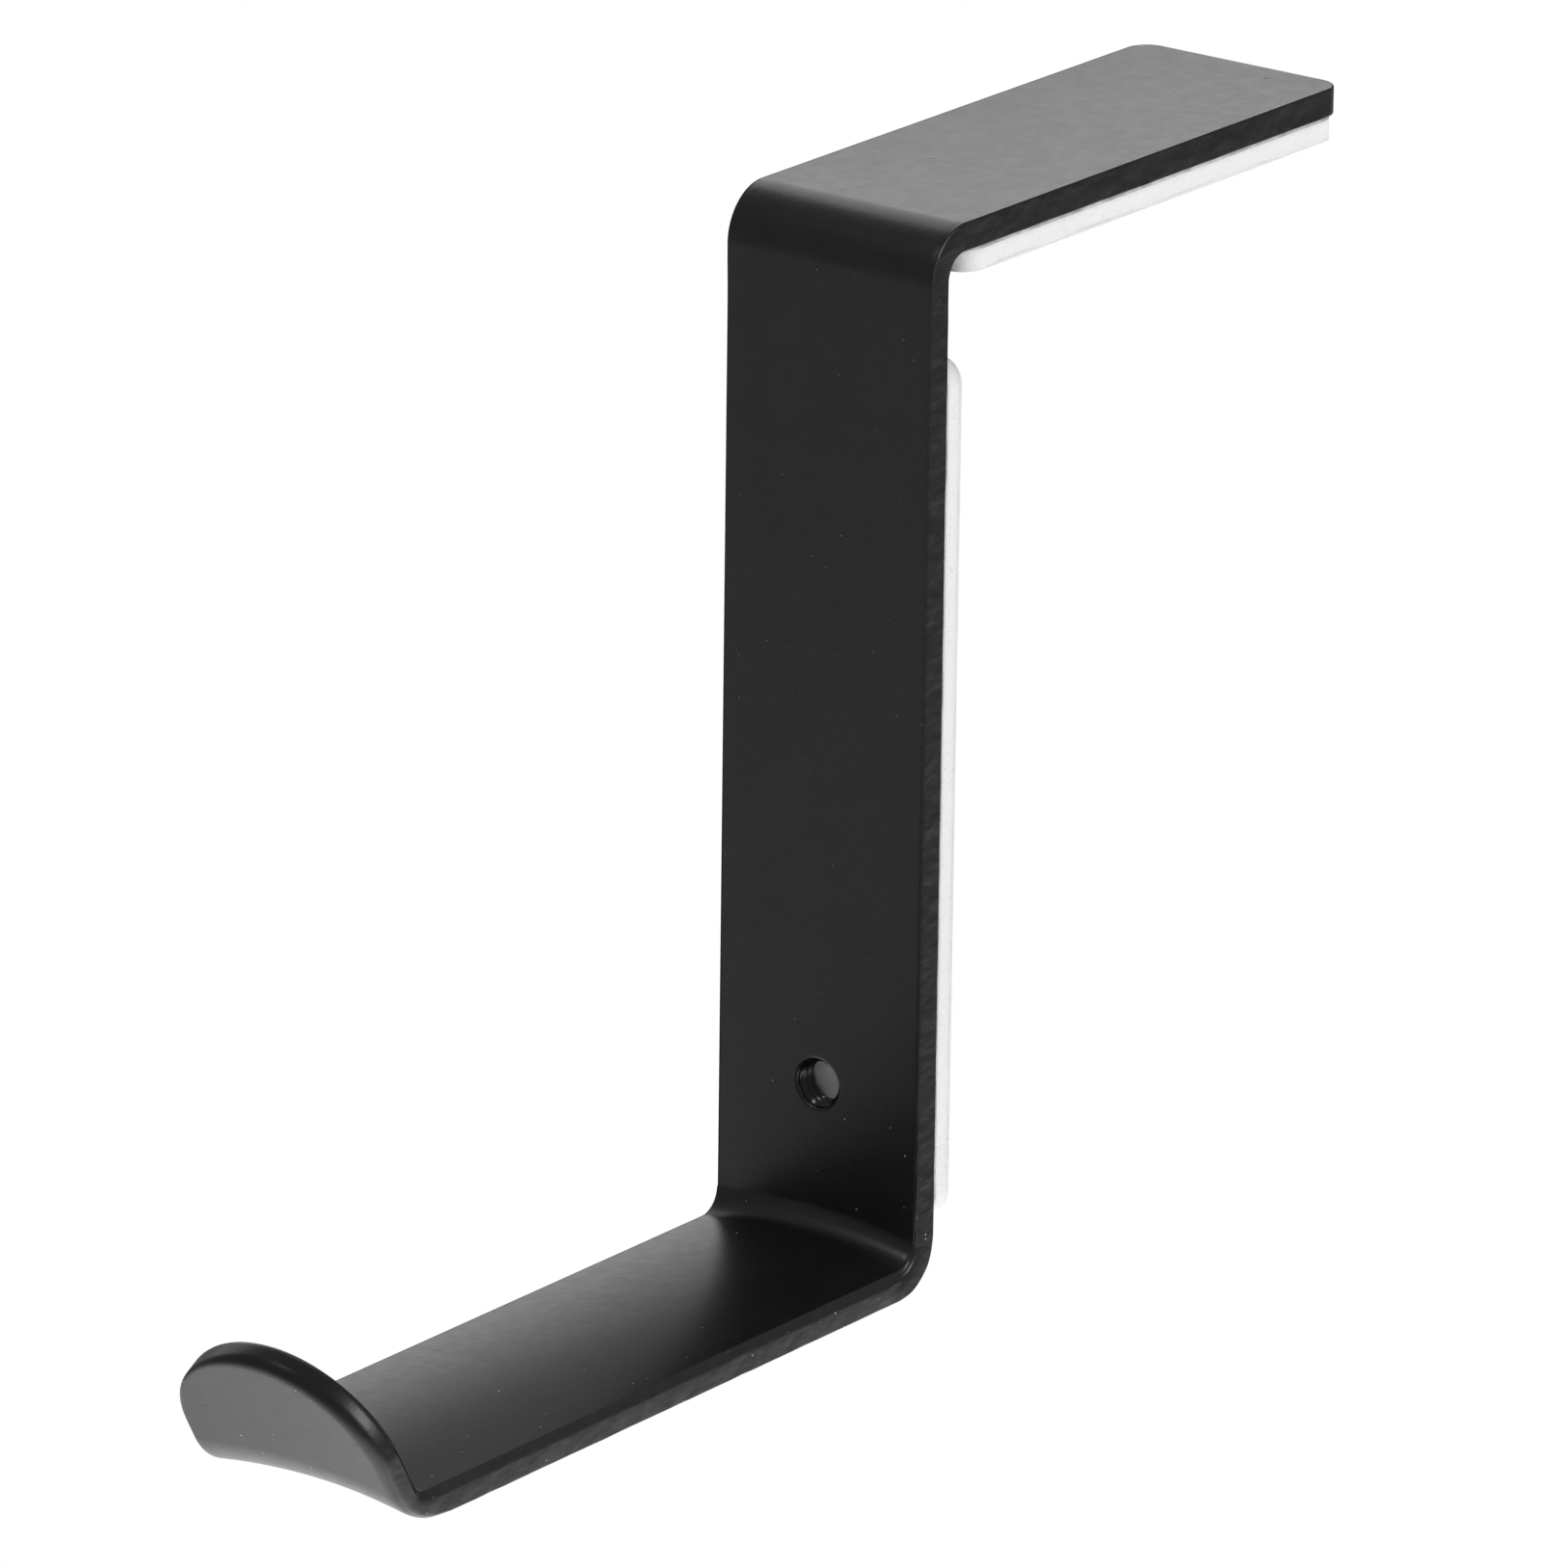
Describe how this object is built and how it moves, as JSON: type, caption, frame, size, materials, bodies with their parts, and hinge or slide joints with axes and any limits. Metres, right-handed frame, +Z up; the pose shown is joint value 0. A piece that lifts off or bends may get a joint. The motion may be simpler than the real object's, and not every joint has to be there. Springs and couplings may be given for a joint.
{
  "type": "headphone hook",
  "caption": "Headphone hook bent from flat steel bar: foam adhesive pads grip a panel's edge, and a crowned arm with an upturned lip holds the headband.",
  "frame": {"origin": "centre of the face that rests on the panel, which is the outer face of the top pad's liner", "axes": "+Z up, +Y from the headband arm towards the panel, along the flange, X across the bar"},
  "size_m": [0.025, 0.1594, 0.11],
  "materials": {
    "powder_coated_steel": "fine satin powder coat",
    "foam": "closed-cell foam",
    "inner_adhesive": "translucent acrylic adhesive",
    "outer_adhesive": "translucent acrylic adhesive",
    "liner": "silicone-coated paper"
  },
  "bodies": {
    "hook": {"bracket": "powder_coated_steel", "top_inner_adhesive": "inner_adhesive", "top_foam": "foam", "top_outer_adhesive": "outer_adhesive", "back_inner_adhesive": "inner_adhesive", "back_foam": "foam", "back_outer_adhesive": "outer_adhesive"},
    "top_liner": {"top_liner": "liner"},
    "back_liner": {"back_liner": "liner"}
  },
  "joints": [
    {"name": "top_liner_peel", "type": "slide", "parent": "hook", "child": "top_liner", "axis": [0, 1, 0], "range_m": [0, 0.066]},
    {"name": "back_liner_peel", "type": "slide", "parent": "hook", "child": "back_liner", "axis": [0, 0, -1], "range_m": [0, 0.092]}
  ]
}
